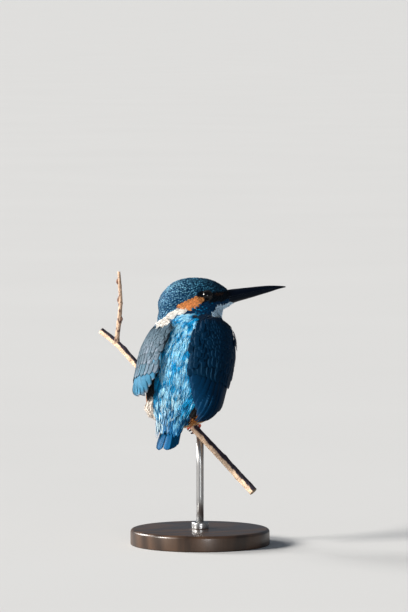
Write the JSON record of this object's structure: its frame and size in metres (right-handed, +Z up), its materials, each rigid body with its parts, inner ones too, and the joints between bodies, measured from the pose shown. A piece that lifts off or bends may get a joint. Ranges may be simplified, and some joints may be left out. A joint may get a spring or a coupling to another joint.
{
  "type": "perched bird model",
  "caption": "Life-size still model of a common kingfisher on a cut twig, head turned to its right, held by a round display stand.",
  "frame": {"origin": "centre of the stand's flat underside", "axes": "+Z up; the bird's back is towards -Y and its bill points along +X"},
  "size_m": [0.1187, 0.088, 0.1711],
  "materials": {
    "crown_feathers": "barred feathers",
    "back_feathers": "glossy feathers",
    "breast_feathers": "soft feathers",
    "tail_feathers": "glossy feathers",
    "wing_coverts": "spotted feathers",
    "flight_feathers": "smooth feathers",
    "bill_horn": "smooth horn",
    "claw_horn": "smooth horn",
    "eye": "polished",
    "foot_skin": "scaly skin",
    "bark": "rough bark",
    "stand_wood": "satin varnish",
    "stand_metal": "brushed"
  },
  "bodies": {
    "root": {"head": "crown_feathers", "neck": "crown_feathers", "trunk": "breast_feathers", "rump": "back_feathers", "tail": "tail_feathers", "bill_upper": "bill_horn", "bill_lower": "bill_horn", "eye_left": "eye", "eye_right": "eye", "wing_left": "wing_coverts", "wing_left_quills": "flight_feathers", "wing_right": "wing_coverts", "wing_right_quills": "flight_feathers", "toe_left_inner": "foot_skin", "claw_left_inner": "claw_horn", "toe_left_middle": "foot_skin", "claw_left_middle": "claw_horn", "toe_left_outer": "foot_skin", "claw_left_outer": "claw_horn", "toe_left_hind": "foot_skin", "claw_left_hind": "claw_horn", "tarsus_left": "foot_skin", "toe_right_inner": "foot_skin", "claw_right_inner": "claw_horn", "toe_right_middle": "foot_skin", "claw_right_middle": "claw_horn", "toe_right_outer": "foot_skin", "claw_right_outer": "claw_horn", "toe_right_hind": "foot_skin", "claw_right_hind": "claw_horn", "tarsus_right": "foot_skin", "perch_branch": "bark", "perch_shoot": "bark", "stand_base": "stand_wood", "stand_collar": "stand_metal", "stand_rod": "stand_metal"}
  },
  "joints": []
}
